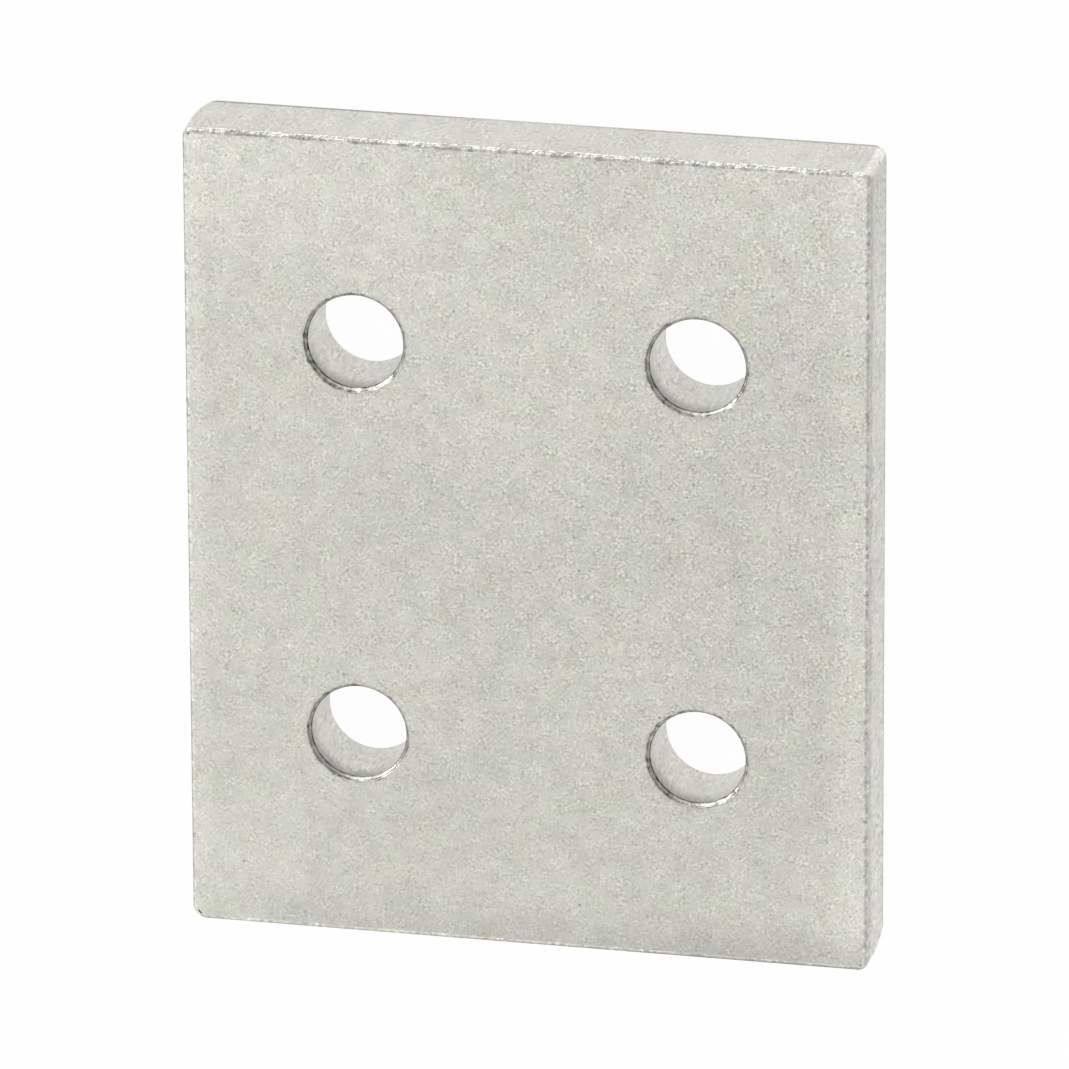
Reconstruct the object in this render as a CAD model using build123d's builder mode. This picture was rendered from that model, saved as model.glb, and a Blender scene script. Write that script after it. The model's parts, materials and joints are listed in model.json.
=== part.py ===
"""A plate that bolts across two lengths of slotted aluminium extrusion.

One flat rectangle of quarter-inch aluminium bar, sawn to length, with a clearance hole for a
slot-nut bolt near each corner. Its burrs are gone: the outer edges are tumbled round and the
mouths of the holes are broken with a small chamfer. It lies on its back: +Z is the normal of
the front face, which the bolt heads sit on, +X runs across the joint and +Y along the slots.
The origin is the centre of the back face, which seats on the extrusions.
"""
import os

from build123d import *

# Driving dimensions, in millimetres
plate_width = 50.0  # across the joint, along X
plate_height = 61.0  # along the slots, along Y
plate_thickness = 6.35  # quarter-inch bar
corner_radius = 1.2  # the four corners, seen from the front
edge_radius = 0.4  # the tumbled outer edges of both faces

hole_diameter = 7.0  # clearance for an M6 bolt
hole_pitch_x = 25.0  # between bolts in neighbouring slots
hole_pitch_y = 30.0  # between bolts in the same slot
mouth_chamfer = 0.35  # the broken edge at both mouths of a hole

holes_per_row = 2
hole_rows = 2

with BuildPart() as joining_plate:
    # The blank: a sawn rectangle, with its corners and outer edges tumbled
    with BuildSketch():
        RectangleRounded(plate_width, plate_height, corner_radius)
    extrude(amount=plate_thickness)
    outer_rims = joining_plate.faces().filter_by(Axis.Z).edges()
    fillet(outer_rims, edge_radius)

    # The bolt holes, drilled from the front face and deburred on both faces
    front_face = joining_plate.faces().filter_by(Axis.Z).sort_by(Axis.Z)[-1]
    with Locations(front_face):
        with GridLocations(hole_pitch_x, hole_pitch_y, holes_per_row, hole_rows):
            Hole(hole_diameter / 2)
    hole_mouths = joining_plate.edges(Select.LAST).filter_by(GeomType.CIRCLE)
    chamfer(hole_mouths, mouth_chamfer)

joining_plate.part.label = "joining_plate"

os.makedirs("parts", exist_ok=True)
export_step(joining_plate.part, "parts/joining_plate.step")
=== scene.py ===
import itertools
import json
import math

import bmesh
import bpy
from mathutils import Matrix, Vector, noise


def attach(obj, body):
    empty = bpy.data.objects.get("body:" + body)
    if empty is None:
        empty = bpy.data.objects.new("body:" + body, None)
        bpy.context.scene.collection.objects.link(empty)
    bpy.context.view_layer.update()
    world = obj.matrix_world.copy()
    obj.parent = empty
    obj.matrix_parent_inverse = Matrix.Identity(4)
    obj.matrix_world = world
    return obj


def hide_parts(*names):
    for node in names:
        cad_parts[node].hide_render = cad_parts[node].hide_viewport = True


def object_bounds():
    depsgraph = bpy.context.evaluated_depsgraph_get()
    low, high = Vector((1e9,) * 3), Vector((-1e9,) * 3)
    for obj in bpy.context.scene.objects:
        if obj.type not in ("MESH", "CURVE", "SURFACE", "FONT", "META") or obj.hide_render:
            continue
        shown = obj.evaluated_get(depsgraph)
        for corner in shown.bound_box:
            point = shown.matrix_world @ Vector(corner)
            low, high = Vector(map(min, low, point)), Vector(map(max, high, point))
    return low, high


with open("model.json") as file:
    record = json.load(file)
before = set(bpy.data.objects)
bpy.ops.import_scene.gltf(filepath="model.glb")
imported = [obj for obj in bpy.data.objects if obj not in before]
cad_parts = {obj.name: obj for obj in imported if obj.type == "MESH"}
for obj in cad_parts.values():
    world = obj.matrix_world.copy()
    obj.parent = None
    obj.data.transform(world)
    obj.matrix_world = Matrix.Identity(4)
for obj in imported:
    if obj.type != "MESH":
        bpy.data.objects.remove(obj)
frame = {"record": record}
cadLow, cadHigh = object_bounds()
bores = [m for m in frame["record"]["mounts"] if m["kind"] == "bore"]
print("frame loaded:", len(bores), "bores")

# the plate's sizes, in metres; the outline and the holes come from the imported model
plate = {
    "name": "joiningPlate",
    "slot": "aluminium",
    "width": cadHigh.x - cadLow.x,
    "height": cadHigh.y - cadLow.y,
    "thickness": cadHigh.z - cadLow.z,
    "wallSteps": (0.25, 0.25, 0.25, 0.25),      # shares of half a side wall, from its middle up
    "samePlace": 1e-6,          # spots closer than this are one
    "cornerRadius": 0.0004,     # as first cut, before the corners are eased
    "cornerSegments": 11,
    "easedCorners": {           # the corner's way from the middle: radius at the front, half-way, back
        (-1, 1): (0.0008, 0.0005, 0.0013),
        (1, 1): (0.0005, 0.0004, 0.0010),
        (1, -1): (0.0007, 0.0004, 0.0014),
        (-1, -1): (0.0010, 0.0009, 0.0012),
    },
    "edgeRadius": 0.00030,      # the tumbled outer edges
    "edgeSegments": 9,
    "edgeShape": 2.0,           # 1 is a flat chamfer, 2 a full round
    "edgeSplits": (15, 15),     # cuts along each straight edge, made twice
    "flatBand": 0.00006,        # keeps the broad faces flat up to their rims
    "holes": [(m["pos_m"][0], m["pos_m"][1]) for m in bores],
    "boreRadius": bores[0]["dims"]["r_mm"] / 1000,
    "boreVertices": 192,
    "boreSteps": (0.1, 0.3, 0.6),       # shares of half a bore, from its mouth down
    "mouthBreak": 0.00024,      # the broken edge at a hole's mouth, seen from the front
    "mouthDepth": 0.00037,      # and how far down the bore it goes
    "mouthSegments": 8,
    "mouthShape": 1.4,
    "edgeWander": ((650, 0.00014), (2100, 0.00007)),    # waves to the metre, how far they carry the edge
    "stillCorner": 0.0005,      # the outer edges don't wander this near a corner
    "mouthWander": ((800, 0.00014), (2700, 0.00011)),
    "mouthWiden": 0.3,          # added to the waves, so that most of a mouth is widened
    "outerDents": {"coarse": (0.0016, 0.00006), "fine": (0.00040, 0.00004)},    # size, depth
    "mouthDents": {"fine": (0.00045, 0.00011)},
    "dentSpread": 0.7,          # less than 1 takes the dents further round an edge
    "besideTop": {"wander": 0.5, "dents": 0.4},     # what the other edges have of the top edge's
    "smoothAngle": 50,          # degrees; sharper edges than this stay crisp
}


def deselectObjects():
    bpy.ops.object.select_all(action="DESELECT")


def selectWhere(obj, kind, test):
    bpy.ops.mesh.select_mode(type=kind)
    bpy.ops.mesh.select_all(action="DESELECT")
    mesh = bmesh.from_edit_mesh(obj.data)
    for part in mesh.edges if kind == "EDGE" else mesh.faces:
        part.select = test(part)
    mesh.select_flush_mode()
    bmesh.update_edit_mesh(obj.data)


def edgeSteps(inwards, down, segments, shape):
    # steps round a broken edge, from the wall on to the flat face
    points = []
    for i in range(segments + 1):
        turn = math.pi / 2 * i / segments
        points.append((
            inwards * (1 - max(0, math.cos(turn)) ** (2 / shape)),
            down * math.sin(turn) ** (2 / shape)))
    return [(b[0] - a[0], b[1] - a[1]) for a, b in zip(points, points[1:])]


def modelPlate(p):
    half = p["thickness"] / 2
    deselectObjects()
    bpy.ops.mesh.primitive_plane_add(size=1, location=(0, 0, 0))
    obj = bpy.context.object
    obj.name = obj.data.name = p["name"]
    obj.scale = (p["width"], p["height"], 1)
    bpy.ops.object.transform_apply(location=True, rotation=True, scale=True)

    # half of the blank: rounded corners, walls, then the edge's profile as a run of insets
    bpy.ops.object.mode_set(mode="EDIT")
    bpy.ops.mesh.select_all(action="SELECT")
    bpy.ops.mesh.bevel(
        affect="VERTICES", offset=p["cornerRadius"], segments=p["cornerSegments"], profile=0.5)
    bpy.ops.mesh.select_all(action="SELECT")
    bpy.ops.mesh.delete(type="ONLY_FACE")
    selectWhere(obj, "EDGE", lambda e: e.calc_length() > 0.5 * p["width"])      # the straight sides
    for cuts in p["edgeSplits"]:
        bpy.ops.mesh.subdivide(number_cuts=cuts)
    bpy.ops.mesh.select_all(action="SELECT")
    bpy.ops.mesh.edge_face_add()
    for share in p["wallSteps"]:
        bpy.ops.mesh.extrude_region_move(
            TRANSFORM_OT_translate={"value": (0, 0, share * (half - p["edgeRadius"]))})
    bpy.ops.mesh.select_all(action="SELECT")
    bpy.ops.mesh.normals_make_consistent(inside=False)
    selectWhere(obj, "FACE", lambda f: f.normal.z > 0.99)       # the top
    for inwards, up in edgeSteps(p["edgeRadius"], p["edgeRadius"], p["edgeSegments"], p["edgeShape"]):
        bpy.ops.mesh.inset(thickness=inwards, depth=up)
    bpy.ops.mesh.inset(thickness=p["flatBand"], depth=0)
    selectWhere(obj, "FACE", lambda f: len(f.verts) > 4)        # the top and the bottom
    bpy.ops.mesh.delete(type="ONLY_FACE")

    # half of each hole, from its mouth down to mid-thickness, then the face round them
    for x, y in p["holes"]:
        drillHalf(p, x, y, half)
    selectWhere(obj, "EDGE", lambda e: e.is_boundary and all(
        v.co.z > half - p["samePlace"] for v in e.verts))
    bpy.ops.mesh.fill(use_beauty=True)

    # the other half is its mirror image
    bpy.ops.object.mode_set(mode="OBJECT")
    mirror = obj.modifiers.new("otherHalf", "MIRROR")
    mirror.use_axis = (False, False, True)
    mirror.merge_threshold = p["samePlace"]
    bpy.ops.object.modifier_apply(modifier=mirror.name)
    obj.location.z = half
    bpy.ops.object.transform_apply(location=True, rotation=False, scale=False)
    bpy.ops.object.mode_set(mode="EDIT")
    bpy.ops.mesh.select_all(action="SELECT")
    bpy.ops.mesh.remove_doubles(threshold=p["samePlace"])
    bpy.ops.mesh.normals_make_consistent(inside=False)
    bpy.ops.object.mode_set(mode="OBJECT")
    return obj


def drillHalf(p, x, y, height):
    radius = p["boreRadius"] + p["mouthBreak"] + p["flatBand"]
    wall = height - p["mouthDepth"]
    bpy.ops.mesh.primitive_circle_add(
        vertices=p["boreVertices"], radius=radius, location=(x, y, height), fill_type="NOTHING")
    rings = [(p["flatBand"], 0)]
    rings += reversed(edgeSteps(p["mouthBreak"], p["mouthDepth"], p["mouthSegments"], p["mouthShape"]))
    rings += [(0, wall * share) for share in p["boreSteps"]]
    for inwards, down in rings:
        bpy.ops.mesh.extrude_edges_move(TRANSFORM_OT_translate={"value": (0, 0, -down)})
        height -= down
        shrink = (radius - inwards) / radius
        radius -= inwards
        bpy.ops.transform.resize(value=(shrink, shrink, 1), center_override=(x, y, height))


def insetOf(p, spot):
    # how far in a spot is from the side edges, from the ends and from the nearer face
    return (p["width"] / 2 - abs(spot.x), p["height"] / 2 - abs(spot.y),
            min(spot.z, p["thickness"] - spot.z))


def outFromHole(p, spot):
    # from the axis of the nearest hole straight out to a spot
    ways = [Vector((spot.x - x, spot.y - y, 0)) for x, y in p["holes"]]
    return min(ways, key=lambda way: way.length)


def wanderEdges(obj, p):
    # where a rounded edge runs out on the face wavers along it, most of all at the top
    for v in obj.data.vertices:
        inX, inY, inZ = insetOf(p, v.co)
        reach = min(inX, inY)
        if reach > 2 * p["edgeRadius"] or inZ > p["edgeRadius"]:
            continue
        move = sum(
            (0.5 + 0.5 * noise.noise(Vector((v.co.x, v.co.y, 0)) * waves)) * far
            for waves, far in p["edgeWander"])
        # it fades out towards the wall and towards a corner
        move *= min(1, reach / p["edgeRadius"]) * min(1, max(0, max(inX, inY) / p["stillCorner"] - 1))
        move *= 1.0 if v.co.y > 0 and inY <= inX else p["besideTop"]["wander"]
        if inY <= inX:
            v.co.y -= math.copysign(move, v.co.y)
        else:
            v.co.x -= math.copysign(move, v.co.x)


def easeCorners(obj, p):
    # the plate's corners are sharper at the front than at the back, and no two are the same
    start = p["cornerRadius"]
    for v in obj.data.vertices:
        side = (math.copysign(1, v.co.x), math.copysign(1, v.co.y))
        front, middle, back = p["easedCorners"][side]
        way = 2 * v.co.z / p["thickness"] - 1
        radius = middle + ((front if way > 0 else back) - middle) * way * way
        spot = Vector(insetOf(p, v.co)[:2])
        if max(spot) >= radius:
            continue
        # the way into the plate at this spot, and how deep under its wall the spot is
        if max(spot) < start:
            inwards = Vector((start, start)) - spot
            depth = start - inwards.length
            inwards.normalize()
        else:
            inwards = Vector((1, 0)) if spot.x < spot.y else Vector((0, 1))
            depth = min(spot)
        # it moves in until it is as deep under the eased corner
        centre = Vector((radius, radius)) - spot
        along = centre.dot(inwards)
        short = along * along - centre.length_squared + (radius - depth) ** 2
        spot += inwards * max(0, along - math.sqrt(max(0, short)))
        v.co.x = side[0] * (p["width"] / 2 - spot.x)
        v.co.y = side[1] * (p["height"] / 2 - spot.y)


def wanderMouths(obj, p):
    # the broken edge at a hole's mouth is wider in some places than in others
    for v in obj.data.vertices:
        out = outFromHole(p, v.co)
        reach = (out.length - p["boreRadius"]) / p["mouthBreak"]
        if insetOf(p, v.co)[2] < p["mouthDepth"] and reach < 2:
            move = sum(
                max(0, p["mouthWiden"] + noise.noise(v.co * waves)) * far
                for waves, far in p["mouthWander"])
            v.co += out.normalized() * move * min(1, max(0, reach))


def dentEdges(obj, p):
    # tumbling leaves the broken edges uneven, the top one most of all; the flats stay true
    outer = obj.vertex_groups.new(name="outerEdges")
    mouths = obj.vertex_groups.new(name="holeMouths")
    for v in obj.data.vertices:
        inX, inY, inZ = insetOf(p, v.co)
        reach = min(inX, inY)
        if reach < p["edgeRadius"] and inZ < p["edgeRadius"]:
            across = math.atan2(inZ, reach) / (math.pi / 2)
            bulge = math.sin(math.pi * across) ** p["dentSpread"]
            share = 1.0 if v.co.y > 0 and inY <= inX else p["besideTop"]["dents"]
            outer.add([v.index], bulge * share, "REPLACE")
        fromBore = outFromHole(p, v.co).length - p["boreRadius"]
        if fromBore < p["mouthBreak"] and inZ < p["mouthDepth"]:
            across = (p["mouthBreak"] - fromBore) / p["mouthBreak"]
            mouths.add([v.index], math.sin(math.pi * min(1, max(0, across))), "REPLACE")
    for group, dents in (("outerEdges", p["outerDents"]), ("holeMouths", p["mouthDents"])):
        for name, (size, depth) in dents.items():
            texture = bpy.data.textures.new(name + "Dents", "CLOUDS")
            texture.noise_scale = size
            push = obj.modifiers.new(name + "Dents", "DISPLACE")
            push.texture = texture
            push.texture_coords = "LOCAL"
            push.direction = "NORMAL"
            push.mid_level = 1.0    # only ever inwards
            push.strength = depth
            push.vertex_group = group
            bpy.ops.object.modifier_apply(modifier=push.name)


joiningPlate = modelPlate(plate)
wanderEdges(joiningPlate, plate)
easeCorners(joiningPlate, plate)
wanderMouths(joiningPlate, plate)
dentEdges(joiningPlate, plate)
deselectObjects()
joiningPlate.select_set(True)
bpy.ops.object.shade_smooth_by_angle(angle=math.radians(plate["smoothAngle"]))
print("plate modelled:", len(joiningPlate.data.polygons), "faces")

# The effects that the metals share. A noise is its scale, detail and roughness. A smooth ramp is
# where it starts and ends, then its values there, which are 0 and 1 if not given.
grain = {
    "detail": 2.2,
    "roughness": 0.62,
    "smoother": ((1100, 1.0, 0.5), (0.34, 0.66, 0.45, 1.33)),   # patches with less speckle or more
    "clouds": ((700, 3.0, 0.6), 0.34),      # a noise, and how far it takes the shade
    "patches": ((95, 2.0, 0.5), 0.16),
    "pink": ((330, 3.0, 0.55), 0.075),
    "yellow": ((290, 3.0, 0.55), 0.11),
}
zones = {
    "corners": (0.003, 0.014, 1, 0),        # how far in from the edges the corners reach
    # the back rim's painted contact shadow, where the plate lies on the floor
    "backRim": ((-0.010, -0.004, 0.66, 0.22), (0.004, 0.010, 0.0, 0.24)),   # along X, added up
}
wear = {
    "detail": 2.0,
    "roughness": 0.5,
    "rubbed": (0.47, 0.60),
    "nicked": (0.45, 0.34),
}


def feedNode(tree, node, feeds):
    # each feed is an input, by name or number, with a value or another node's output for it
    for name, value in feeds.items():
        if isinstance(value, bpy.types.NodeSocket):
            tree.links.new(value, node.inputs[name])
        else:
            node.inputs[name].default_value = value


def addNode(tree, kind, column, row, feeds=None, **settings):
    node = tree.nodes.new(kind)
    node.location = (column * 200, -row * 320)
    for name, value in settings.items():
        setattr(node, name, value)
    feedNode(tree, node, feeds or {})
    return node


def addMath(tree, column, row, operation, a, b=0.0):
    # some operations have no use for the second number
    return addNode(
        tree, "ShaderNodeMath", column, row, {0: a, 1: b}, operation=operation).outputs[0]


def addRamp(tree, column, row, value, start, end, low=0.0, high=1.0):
    return addNode(
        tree, "ShaderNodeMapRange", column, row,
        {"Value": value, "From Min": start, "From Max": end, "To Min": low, "To Max": high},
        interpolation_type="SMOOTHSTEP").outputs["Result"]


def addNoise(tree, column, row, place, scale, detail, roughness):
    return addNode(
        tree, "ShaderNodeTexNoise", column, row,
        {"Vector": place, "Scale": scale, "Detail": detail, "Roughness": roughness}).outputs["Fac"]


def addSwing(tree, column, row, place, cloud, far):
    # a noise that swings to either side of nought
    swing = addMath(tree, column + 1, row, "SUBTRACT", addNoise(tree, column, row, place, *cloud), 0.5)
    return addMath(tree, column + 2, row, "MULTIPLY", swing, far)


def addStretch(tree, column, row, place, stretch):
    return addNode(
        tree, "ShaderNodeMapping", column, row, {"Vector": place, "Scale": stretch}).outputs["Vector"]


def addTint(tree, column, row, colour, shade):
    # a colour times a shade that changes over the surface; 6 and 7 are this node's colour inputs
    return addNode(
        tree, "ShaderNodeMix", column, row, {0: 1.0, 6: colour, 7: shade},
        data_type="RGBA", blend_type="MULTIPLY").outputs[2]


def newGroup(name, inputs, outputs):
    group = bpy.data.node_groups.new(name, "ShaderNodeTree")
    for way, sockets in (("INPUT", inputs), ("OUTPUT", outputs)):
        for socket, kind in sockets.items():
            group.interface.new_socket(socket, in_out=way, socket_type="NodeSocket" + kind)
    return group, addNode(group, "NodeGroupInput", -1, 0).outputs


def endGroup(group, values):
    addNode(group, "NodeGroupOutput", 12, 0, values)


def makeGrain(g):
    # fine speckle of tumbled metal, with slow patches of shade and a faint drift of tint
    group, given = newGroup(
        "tumbledGrain",
        {"Place": "Vector", "Colour": "Color", "Scale": "Float", "Strength": "Float"},
        {"Colour": "Color", "Height": "Float"})
    place = given["Place"]
    speckle = addNoise(group, 1, 0, place, given["Scale"], g["detail"], g["roughness"])
    fine = addMath(group, 2, 0, "SUBTRACT", speckle, 0.5)
    fine = addMath(group, 3, 0, "MULTIPLY", fine, given["Strength"])
    cloud, ramp = g["smoother"]
    smoother = addRamp(group, 3, 1, addNoise(group, 2, 1, place, *cloud), *ramp)
    fine = addMath(group, 4, 0, "MULTIPLY", fine, smoother)
    slow = addMath(group, 4, 2, "ADD", addSwing(group, 1, 2, place, *g["clouds"]),
                   addSwing(group, 1, 3, place, *g["patches"]))
    shade = addMath(group, 6, 0, "ADD", addMath(group, 5, 0, "ADD", fine, slow), 1.0)
    pink = addSwing(group, 1, 4, place, *g["pink"])
    yellow = addSwing(group, 1, 5, place, *g["yellow"])
    drift = [("ADD", pink), ("SUBTRACT", pink), ("SUBTRACT", yellow)]
    tint = addNode(group, "ShaderNodeCombineColor", 8, 3, {
        i: addMath(group, 7, 3 + i, "MULTIPLY", shade, addMath(group, 6, 3 + i, way, 1.0, swing))
        for i, (way, swing) in enumerate(drift)})
    endGroup(group, {
        "Colour": addTint(group, 9, 0, given["Colour"], tint.outputs[0]), "Height": speckle})


def makeZones(z, p):
    # where on the plate a spot is: metres from the ends, corners and holes, then what share it has
    # of the painted light at the corners and of the painted contact shadow along the back rim
    group, given = newGroup(
        "plateZones", {"Place": "Vector"},
        {"FromEnds": "Float", "FromCorners": "Float", "FromHoles": "Float", "Corners": "Float",
         "BackRimShadow": "Float"})
    spot = addNode(group, "ShaderNodeSeparateXYZ", 0, 0, {0: given["Place"]}).outputs
    across = addMath(group, 1, 0, "ABSOLUTE", spot["X"])
    along = addMath(group, 1, 1, "ABSOLUTE", spot["Y"])
    sides = addMath(group, 2, 0, "SUBTRACT", p["width"] / 2, across)
    ends = addMath(group, 2, 1, "SUBTRACT", p["height"] / 2, along)
    holeX, holeY = (abs(value) for value in p["holes"][0])
    offX = addMath(group, 2, 2, "SUBTRACT", across, holeX)
    offY = addMath(group, 2, 3, "SUBTRACT", along, holeY)
    squares = addMath(group, 4, 2, "ADD", addMath(group, 3, 2, "MULTIPLY", offX, offX),
                      addMath(group, 3, 3, "MULTIPLY", offY, offY))
    left, right = z["backRim"]      # the painted contact shadow is darkest at the left of the back rim, and hardly there half-way along
    endGroup(group, {
        "FromEnds": ends,
        "FromCorners": addMath(group, 5, 0, "MAXIMUM", sides, ends),
        "FromHoles": addMath(
            group, 6, 2, "SUBTRACT", addMath(group, 5, 2, "SQRT", squares), p["boreRadius"]),
        "Corners": addMath(group, 4, 0, "MULTIPLY", addRamp(group, 3, 0, sides, *z["corners"]),
                           addRamp(group, 3, 1, ends, *z["corners"])),
        "BackRimShadow": addMath(group, 3, 4, "ADD", addRamp(group, 2, 4, spot["X"], *left),
                           addRamp(group, 2, 5, spot["X"], *right)),
    })


def makeWear(w):
    # rubbed bright spots and dark nicks, as they follow one another along a broken edge
    group, given = newGroup(
        "edgeWear", {"Place": "Vector", "Scale": "Float"}, {"Rubbed": "Float", "Nicked": "Float"})
    spots = addNoise(group, 1, 0, given["Place"], given["Scale"], w["detail"], w["roughness"])
    endGroup(group, {"Rubbed": addRamp(group, 2, 0, spots, *w["rubbed"]),
                     "Nicked": addRamp(group, 2, 1, spots, *w["nicked"])})


makeGrain(grain)
makeZones(zones, plate)
makeWear(wear)
print("grain, zones and wear ready")

halfWidth, halfHeight, frontZ = plate["width"] / 2, plate["height"] / 2, plate["thickness"]

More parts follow.
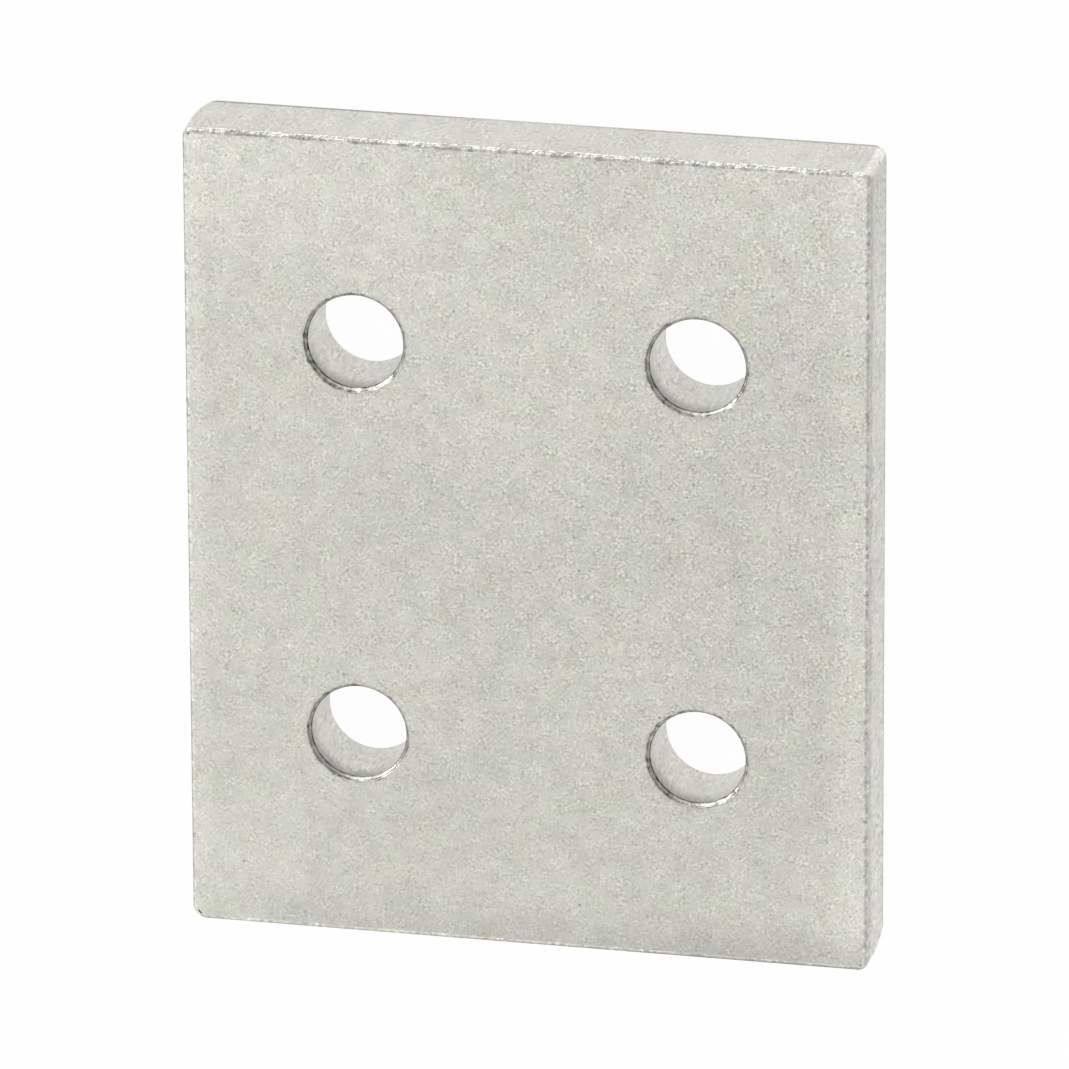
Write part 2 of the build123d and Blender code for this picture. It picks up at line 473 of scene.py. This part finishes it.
# The metals: tumbled faces, sawn sides, reamed bores and the broken edges between. A metal's shade
# is its base, or 1, and its layers added up. A layer is a product of numbers, of what it follows and
# of ramps on what it follows, which is X, Y or Z, an output of a group, or one of the metal's own
# noises, facings, lines and masks. A facing is about 1 where the surface looks that way.
metals = {
    "tumbledFace": {
        "colour": (0.640, 0.636, 0.577),
        "roughness": [0.46],
        "grain": [1.2, ("X", -0.022, 0.022, 0.90, 1.16), ("Y", -0.024, -0.004, 0.80, 1.0)],
        "grainScale": 4700,         # specks to the metre, more or less
        "bump": (0.5, 0.00003),     # strength, depth in metres
        "groups": {"plateZones": {}},
        "noises": {"dots": (2200, 0.0, 0.5), "shadePatches": (1700, 2.0, 0.6), "fuzz": (2300, 2.0, 0.6)},
        "layers": {
            # painted light: the face is lighter towards its corners
            "litCorners": ["Corners", 0.060],
            # painted light: the face is lighter towards the left and towards the top
            "drift": ["X", -1.7],
            "litTop": [("Y", 0.0, 0.028, 0.0, 0.066)],
            "specks": [("dots", 0.15, 0.11, 0.0, -0.45)],
            # painted shade in patches on the face just below the top edge
            "shadedUnderTopEdge": [("Y", halfHeight - 0.00085, halfHeight - 0.00050, 0.0, -0.07),
                           ("shadePatches", 0.46, 0.57)],
            # painted light: lighter bands along the face's left and right sides, the right one most
            # towards the bottom
            "litLeftBand": [("X", 0.0008 - halfWidth, 0.0020 - halfWidth, 0.07, 0.0)],
            "litRightBand": [("X", halfWidth - 0.0036, halfWidth - 0.0012),
                            ("Y", -halfHeight, halfHeight, 0.13, 0.05)],
            # painted shade: the face darkens towards the bottom, most at the right
            "shadedBottom": [("Y", -halfHeight, 0.0042 - halfHeight, -0.13, 0.0),
                           ("X", -halfWidth, halfWidth, 0.65, 1.35)],
            # painted shade in a fuzzy ring round each hole's mouth
            "shadedHoleRims": [("FromHoles", 0.00026, 0.00060, -0.17, 0.0), ("fuzz", 0.40, 0.58)],
        },
    },
    "sawnSide": {
        "colour": (0.684, 0.678, 0.618),
        "roughness": [0.44],
        "grain": [("rightwards", 0.75, 0.95, 0.95, 1.45)],
        "grainScale": 3900,
        "grainStretch": (1, 1, 0.5),
        "bump": (0.25, 0.00003),
        "groups": {"plateZones": {}, "edgeWear": {"Scale": 900}},
        "noises": {"shadeBlotches": (1900, 2.0, 0.6)},
        "facings": {"rightwards": (1, 0, 0)},
        "layers": {
            # painted highlight on the rounded right-hand corners, a little stronger where the edge is
            # rubbed
            "highlitRightCorners": [("FromCorners", 0.0003, 0.0007, 0.52, 0.0),
                              ("X", 0.6 * halfWidth, 0.8 * halfWidth), ("Rubbed", 0.0, 1.0, 0.6, 1.0)],
            # painted contact shadow along the back rim of the side walls
            "shadedBackRim": ["BackRimShadow", ("Z", 0.00050, 0.00070, -0.68, 0.0)],
            # painted shade on the right wall, darkest near the front, in blotches
            "shadedRightWall": [("rightwards", 0.75, 0.95), ("shadeBlotches", 0.3, 0.7, 0.5, 1.5),
                           ("Z", frontZ - 0.0020, frontZ - 0.0004, 0.0, -0.23)],
            # painted light: the right wall is lighter towards the bottom
            "litLowRight": [("rightwards", 0.75, 0.95), ("Y", -0.024, -0.010, 0.045, 0.0)],
        },
    },
    "reamedBore": {
        "colour": (0.668, 0.662, 0.604),
        "roughness": [0.38],
        "grain": [1.0],
        "grainScale": 3800,
        "grainStretch": (1, 1, 0.4),
        "bump": (0.3, 0.00003),
        "noises": {"reamer": (5200, 2.0, 0.6, (0.06, 0.06, 1))},    # stretched round the bore
        "facings": {"lowerWall": (0.45, 0.89, 0)},
        "base": 0.96,
        "layers": {
            "rings": ["reamer", 0.08],      # half of this on average, which brings the shade to 1
            # painted shade on the bore's lower wall, darkest near the front mouth
            "shadedUnderFront": [("Z", frontZ - 0.00225, frontZ - 0.00045, 0.0, -0.42),
                               ("lowerWall", 0.3, 0.97, 0.10, 1.0)],
        },
    },
    "tumbledEdge": {
        "colour": (0.720, 0.715, 0.655),
        "roughness": [("top", 0.0, 1.0, 0.50, 0.32)],
        "grain": [1.6],
        "grainScale": 3000,
        "bump": (1.0, 0.00011),
        "bumpShare": [("top", 0.0, 1.0, 0.35, 1.0)],
        "groups": {"plateZones": {}, "edgeWear": {"Scale": 1300}},
        "noises": {"shadePatches": (1700, 2.0, 0.6), "frays": (1500, 3.0, 0.6)},
        "lines": {"ragged": ("FromEnds", "frays", 0.0004)},     # a distance, and how far a noise frays it
        "masks": {
            "top": [("Y", halfHeight - 0.0008, halfHeight - 0.0004)],
            # where the top edge's highlight breaks into dashes
            "highlightDashes": [("shadePatches", 0.46, 0.57)],
        },
        "layers": {
            # painted shade: dark dashes on the top edge's face side under the highlight, and the edge
            # dimmed between the dashes
            "shadedUnderHighlight": ["top", ("ragged", 0.00026, 0.00036, -0.04, -0.31), "highlightDashes"],
            "dimmedBetweenDashes": ["top", ("highlightDashes", 0.0, 1.0, -0.20, -0.02)],
            "rubbed": ["Rubbed", ("top", 0.0, 1.0, 0.09, 0.22)],
            "nicked": ["Nicked", -0.08],
            "paleBesideTop": [("top", 0.0, 1.0, 0.02, 0.0)],
            # painted shade along the right edge
            "shadedRight": [("X", halfWidth - 0.00018, halfWidth - 0.00008, 0.0, -0.14)],
            # painted shade: a dark line along the bottom edge, strongest at the right
            "shadedBottom": [("Y", 0.00035 - halfHeight, 0.00022 - halfHeight, 0.0, -0.20),
                           ("X", -0.018, 0.018, 0.4, 1.6)],
        },
        # painted shade: thin dark lines along the edge's left, bottom and back silhouettes
        "shadeLines": {               # where the edge meets the wall; only the darkest of them counts
            "left": [-0.32, ("X", 0.00018 - halfWidth, 0.00010 - halfWidth)],
            "bottom": [-0.32, ("Y", 0.00019 - halfHeight, 0.00011 - halfHeight)],
            # painted contact shadow along the back rim of the edge
            "backRim": ["BackRimShadow", ("Z", 0.00035, 0.00045, -0.68, 0.0)],
        },
    },
    "brokenMouth": {
        "colour": (0.640, 0.635, 0.578),
        "roughness": [0.40],
        "grain": [1.4],
        "grainScale": 3000,
        "bump": (0.8, 0.00006),
        "groups": {"plateZones": {}, "edgeWear": {"Scale": 1600}},
        "noises": {"shadeBlotches": (1300, 2.0, 0.6)},
        "facings": {"rightWall": (0.85, 0.5, 0)},
        "layers": {
            # painted shade: a dark ring where the mouth meets the face, fainter where rubbed, and a
            # darker one where it meets the bore
            "shadeAtFaceRim": [("FromHoles", 0.00015, 0.00024, 0.0, -0.25), ("Rubbed", 0.0, 1.0, 1.0, 0.3)],
            "shadeAtBoreRim": [("FromHoles", 0.00002, 0.00009, -0.60, 0.0)],
            "rubbed": ["Rubbed", 0.15],
            "nicked": ["Nicked", -0.30],
            # painted shade where the mouth faces right, on each hole's left side, in blotches
            "shadedRight": [("rightWall", 0.25, 0.75, 0.0, -0.24), ("shadeBlotches", 0.35, 0.6, 0.4, 1.2)],
        },
    },
}


def addProduct(tree, column, row, sources, factors):
    product = None
    for factor in factors:
        if isinstance(factor, str):
            factor = sources[factor]
        elif isinstance(factor, tuple):
            factor = addRamp(tree, column, row, sources[factor[0]], *factor[1:])
            column += 1
        if product is not None:
            factor = addMath(tree, column, row, "MULTIPLY", product, factor)
            column += 1
        product = factor
    return product


def addLayers(tree, column, row, sources, layers, together):
    # one layer to a row, then all of them added up, or the least of them
    total = None
    for name, factors in layers.items():
        layer = addProduct(tree, column, row, sources, factors)
        layer.node.label = name
        total = layer if total is None else addMath(tree, column + 6, row, together, total, layer)
        row += 1
    return total


def addSources(tree, look):
    # all that a metal's layers can follow, by name
    rows = itertools.count()
    place = addNode(tree, "ShaderNodeTexCoord", -18, 0).outputs["Object"]
    sources = {"Place": place}
    nodes = [addNode(tree, "ShaderNodeSeparateXYZ", -16, next(rows), {0: place})]
    for name, values in look.get("groups", {}).items():
        nodes.append(addNode(tree, "ShaderNodeGroup", -16, next(rows), {"Place": place, **values},
                             node_tree=bpy.data.node_groups[name]))
    for node in nodes:
        sources.update({socket.name: socket for socket in node.outputs})
    for name, (scale, detail, roughness, *stretch) in look.get("noises", {}).items():
        row = next(rows)
        spot = addStretch(tree, -17, row, place, stretch[0]) if stretch else place
        sources[name] = addNoise(tree, -16, row, spot, scale, detail, roughness)
    for name, way in look.get("facings", {}).items():
        row = next(rows)
        normal = addNode(tree, "ShaderNodeNewGeometry", -17, row).outputs["Normal"]
        sources[name] = addNode(tree, "ShaderNodeVectorMath", -16, row, {0: normal, 1: way},
                                operation="DOT_PRODUCT").outputs["Value"]
    for name, (line, frays, far) in look.get("lines", {}).items():
        row = next(rows)
        fray = addMath(tree, -15, row, "MULTIPLY", sources[frays], far)
        sources[name] = addMath(tree, -14, row, "ADD", sources[line], fray)
    for name, factors in look.get("masks", {}).items():
        sources[name] = addProduct(tree, -15, next(rows), sources, factors)
    return sources


def makeMetal(name, look):
    material = bpy.data.materials.new(name)
    material.use_nodes = True
    tree = material.node_tree
    sources = addSources(tree, look)
    speckle = addNode(tree, "ShaderNodeGroup", -5, -1, {
        "Place": addStretch(tree, -6, -1, sources["Place"], look.get("grainStretch", (1, 1, 1))),
        "Colour": (*look["colour"], 1),
        "Scale": look["grainScale"],
        "Strength": addProduct(tree, -12, -1, sources, look["grain"]),
    }, node_tree=bpy.data.node_groups["tumbledGrain"]).outputs

    total = addLayers(tree, -12, 0, sources, look["layers"], "ADD")
    if "shadeLines" in look:
        outline = addLayers(tree, -12, len(look["layers"]), sources, look["shadeLines"], "MINIMUM")
        total = addMath(tree, -5, 1, "ADD", total, outline)
    shade = addMath(tree, -4, 1, "ADD", total, look.get("base", 1.0))

    sources["Height"] = speckle["Height"]
    strength, depth = look["bump"]
    bump = addNode(tree, "ShaderNodeBump", -1, -1, {
        "Strength": strength,
        "Distance": depth,
        "Height": addProduct(tree, -4, -1, sources, ["Height", *look.get("bumpShare", [])]),
    })
    feedNode(tree, tree.nodes["Principled BSDF"], {
        "Base Color": addTint(tree, -2, 1, speckle["Colour"], shade),
        "Metallic": 1.0,
        "Roughness": addProduct(tree, -2, 0, sources, look["roughness"]),
        "Normal": bump.outputs["Normal"],
    })
    return material


def finishPlate(obj, p):
    for name, look in metals.items():
        obj.data.materials.append(makeMetal(name, look))
    face, side, bore, edge, mouth = range(len(metals))
    mouthReach = p["boreRadius"] + 3 * p["mouthBreak"]      # further out than any mouth has wandered
    for polygon in obj.data.polygons:
        fromFace = insetOf(p, polygon.center)[2]
        if fromFace < p["samePlace"]:
            polygon.material_index = face
        elif outFromHole(p, polygon.center).length < mouthReach:
            polygon.material_index = bore if fromFace > p["mouthDepth"] else mouth
        else:
            polygon.material_index = side if fromFace > p["edgeRadius"] else edge


finishPlate(joiningPlate, plate)
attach(joiningPlate, "root")
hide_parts("joining_plate")
print("plate finished:", len(joiningPlate.data.materials), "metals")

view = {
    "azimuth": 12.47,       # degrees to the right of the face's normal
    "elevation": 20.89,     # degrees above it
    "roll": -0.28,
    "aim": (-0.00008, 0.00013, 0.003175),
    "distance": 1.0053,
    "lens": 470.9,          # millimetres, on a 36 mm sensor
    "clip": (0.05, 20),     # nearest and furthest seen
}


def placeCamera(v):
    a, e = math.radians(v["azimuth"]), math.radians(v["elevation"])
    back = Vector((math.sin(a) * math.cos(e), math.sin(e), math.cos(a) * math.cos(e)))
    right = Vector((0, 1, 0)).cross(back).normalized()
    turn = Matrix((right, back.cross(right), back)).transposed().to_4x4()
    data = bpy.data.cameras.new("camera")
    data.lens = v["lens"]
    data.clip_start, data.clip_end = v["clip"]
    camera = bpy.data.objects.new("camera", data)
    bpy.context.scene.collection.objects.link(camera)
    camera.matrix_world = (
        Matrix.Translation(Vector(v["aim"]) + back * v["distance"])
        @ turn @ Matrix.Rotation(math.radians(v["roll"]), 4, "Z"))
    bpy.context.scene.camera = camera


placeCamera(view)
print("camera placed")

studio = {
    "floorSize": 4.0,
    "floorColour": (0.9, 0.9, 0.9, 1),
    "floorWhite": 0.975,    # how much of the floor's look is plain white, the rest takes shadow
    "skyStrength": 1.0,
    "flags": [      # dark flags: aim, cosines of the angles where each starts and is full, depth
        ((0.93, 0.2, 0.3), 0.35, 0.92, 0.50),
        ((-0.23, 0.42, 0.88), 0.89, 0.95, 0.36),
    ],
    "lamps": {      # place, size in metres, watts
        "topStrip": ((-0.34, 0.93, 0.14), (0.42, 0.22), 1.0),
        "leftStrip": ((-0.84, 0.53, 0.14), (0.6, 0.25), 3.0),
    },
}


def makeFloor(s):
    deselectObjects()
    bpy.ops.mesh.primitive_plane_add(size=s["floorSize"], location=(0, 0, 0))
    floor = bpy.context.object
    floor.name = "floor"
    material = bpy.data.materials.new("floorWhite")
    material.use_nodes = True
    tree = material.node_tree
    tree.nodes.clear()
    rays = addNode(tree, "ShaderNodeLightPath", 0, 0).outputs
    seen = addMath(tree, 1, 0, "MAXIMUM", rays["Is Camera Ray"], rays["Is Glossy Ray"])
    share = addMath(tree, 2, 0, "MULTIPLY", seen, s["floorWhite"])
    matte = addNode(tree, "ShaderNodeBsdfDiffuse", 2, 1, {"Color": s["floorColour"]}).outputs[0]
    white = addNode(tree, "ShaderNodeEmission", 2, 2).outputs[0]
    both = addNode(tree, "ShaderNodeMixShader", 3, 0, {0: share, 1: matte, 2: white}).outputs[0]
    addNode(tree, "ShaderNodeOutputMaterial", 4, 0, {0: both})
    floor.data.materials.append(material)


def makeSky(s):
    world = bpy.data.worlds.new("studio")
    bpy.context.scene.world = world
    world.use_nodes = True
    tree = world.node_tree
    direction = addNode(tree, "ShaderNodeTexCoord", -5, 0).outputs["Generated"]
    light = s["skyStrength"]
    for row, (aim, start, full, depth) in enumerate(s["flags"]):
        toFlag = addNode(tree, "ShaderNodeVectorMath", -4, row,
                         {0: direction, 1: Vector(aim).normalized()}, operation="DOT_PRODUCT")
        flag = addRamp(tree, -3, row, toFlag.outputs["Value"], start, full, 1.0, 1.0 - depth)
        light = addMath(tree, -2, row, "MULTIPLY", flag, light)
    feedNode(tree, tree.nodes["Background"], {"Color": (1, 1, 1, 1), "Strength": light})


def hangLamps(s):
    for name, (place, size, watts) in s["lamps"].items():
        data = bpy.data.lights.new(name, "AREA")
        data.shape = "RECTANGLE"
        data.size, data.size_y = size
        data.energy = watts
        lamp = bpy.data.objects.new(name, data)
        bpy.context.scene.collection.objects.link(lamp)
        away = Vector(place)        # each lamp is turned to the plate
        lamp.matrix_world = Matrix.Translation(away) @ away.to_track_quat("Z", "Y").to_matrix().to_4x4()


makeFloor(studio)
makeSky(studio)
hangLamps(studio)
bpy.context.scene.view_settings.view_transform = "Standard"
print("studio ready")
